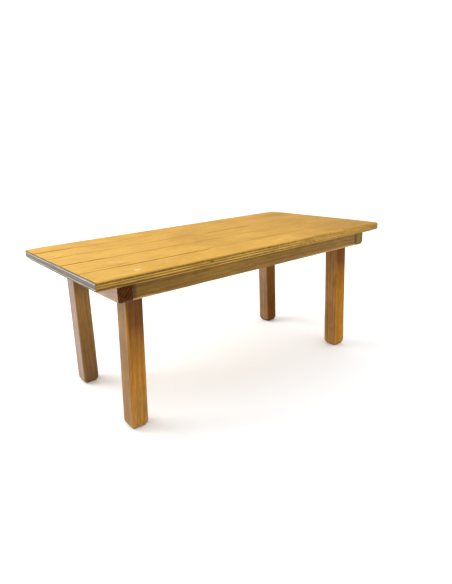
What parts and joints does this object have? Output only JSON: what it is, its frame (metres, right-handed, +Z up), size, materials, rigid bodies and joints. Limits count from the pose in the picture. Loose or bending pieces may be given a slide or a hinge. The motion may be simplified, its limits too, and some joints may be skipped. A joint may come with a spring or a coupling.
{
  "type": "miniature dining table",
  "caption": "Long rectangular doll's house dining table with a scored plywood plank top, butt-jointed rail frame and square legs.",
  "frame": {"origin": "on the floor, under the middle of the top", "axes": "+Z up; +X along the table's length, to the right when seen from the front; -Y towards the front, the long side that the picture shows"},
  "size_m": [0.302, 0.15, 0.127],
  "materials": {
    "face_ply": "clear varnished golden face veneer, soft sheen",
    "long_grain_ply": "pale plywood edge, lightly varnished",
    "crossband_ply": "darker plywood end grain, lightly varnished",
    "long_rail": "satin varnish",
    "end_rail": "satin varnish, dark end grain",
    "leg": "satin varnish, straight grain",
    "pin": "dull steel brad",
    "rail_filler": "brown wood filler, matt",
    "top_filler": "pale wood filler, matt"
  },
  "bodies": {
    "root": {"ply_1_face": "face_ply", "ply_2_crossband": "crossband_ply", "ply_3_long_grain": "long_grain_ply", "ply_4_core": "crossband_ply", "ply_5_long_grain": "long_grain_ply", "ply_6_crossband": "crossband_ply", "ply_7_back": "long_grain_ply", "long_rail_front": "long_rail", "long_rail_back": "long_rail", "end_rail_left": "end_rail", "end_rail_right": "end_rail", "leg_front_left": "leg", "leg_front_right": "leg", "leg_back_left": "leg", "leg_back_right": "leg", "corner_pins": "pin", "leg_pins": "pin", "top_pins": "pin", "corner_pin_fillers": "rail_filler", "leg_pin_fillers": "rail_filler", "top_pin_fillers": "top_filler"}
  },
  "joints": []
}
